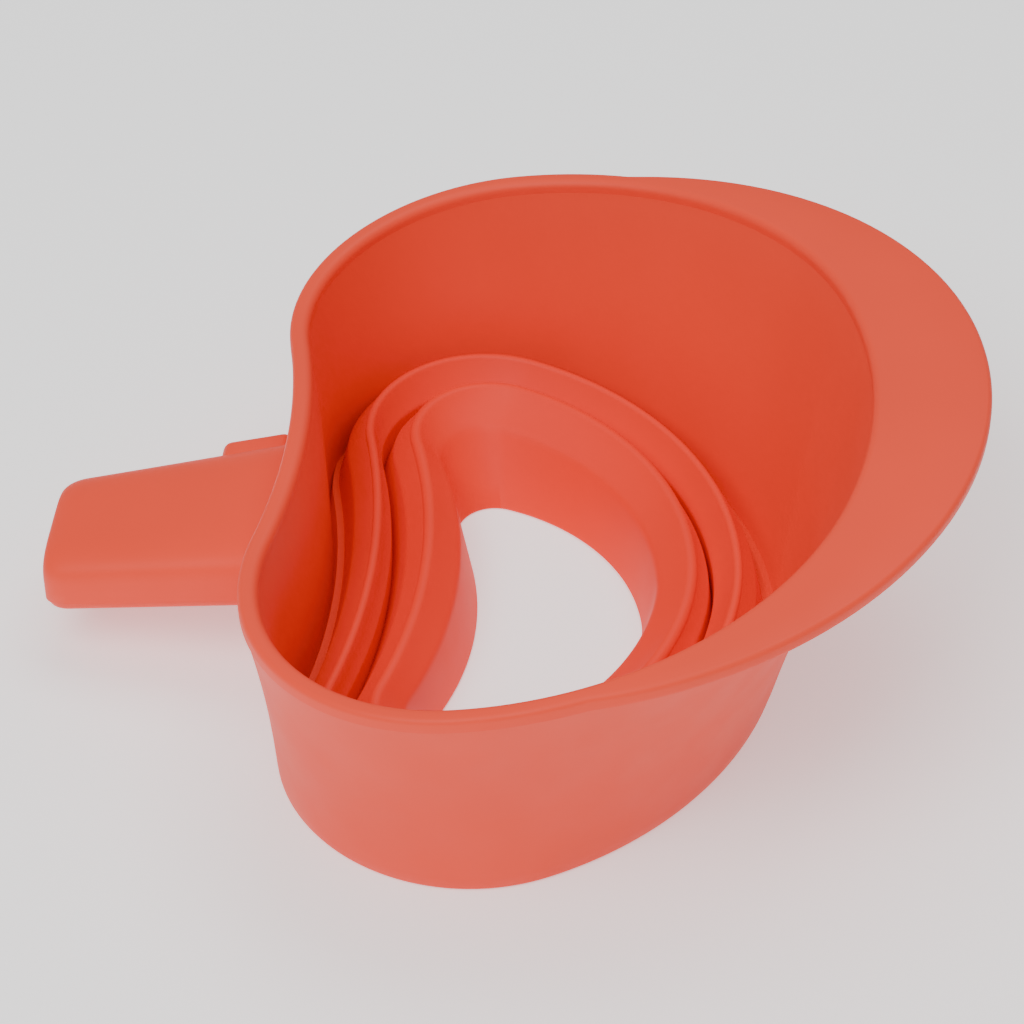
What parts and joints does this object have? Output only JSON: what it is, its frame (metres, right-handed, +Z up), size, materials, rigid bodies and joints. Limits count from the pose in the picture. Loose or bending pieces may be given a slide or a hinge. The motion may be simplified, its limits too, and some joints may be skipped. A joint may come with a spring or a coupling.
{
  "type": "collapsible measuring funnel",
  "caption": "Heart-shaped plastic measuring funnel with a sloping rim, hanging flange, two-shell handle and nested rings on folds that drop to form the spout.",
  "frame": {"origin": "under the middle of the whole object, on the plane that the shell's foot stands on", "axes": "+X from the handle towards the hanging flange, +Z up out of the mouth, Y = 0 the plane of symmetry"},
  "size_m": [0.1646, 0.1532, 0.0639],
  "materials": {
    "rigid_plastic": "satin",
    "ring_plastic": "satin",
    "fold_silicone": "satin",
    "screw_steel": "brushed"
  },
  "bodies": {
    "shell": {"rim_frame": "rigid_plastic", "outer_wall": "rigid_plastic", "handle_upper": "rigid_plastic", "handle_lower": "rigid_plastic", "clip_tab": "rigid_plastic", "handle_screw_front": "screw_steel", "handle_screw_rear": "screw_steel", "fold_band_outer": "fold_silicone"},
    "middle": {"middle_ring": "ring_plastic", "fold_band_inner": "fold_silicone"},
    "spout": {"pouring_ring": "ring_plastic"}
  },
  "joints": [
    {"name": "middle_ring_drop", "type": "slide", "parent": "shell", "child": "middle", "axis": [0, 0, -1], "range_m": [0, 0.0274], "deforming": ["fold_band_outer"]},
    {"name": "spout_drop", "type": "slide", "parent": "middle", "child": "spout", "axis": [0, 0, -1], "range_m": [0, 0.0262], "deforming": ["fold_band_inner"]}
  ]
}
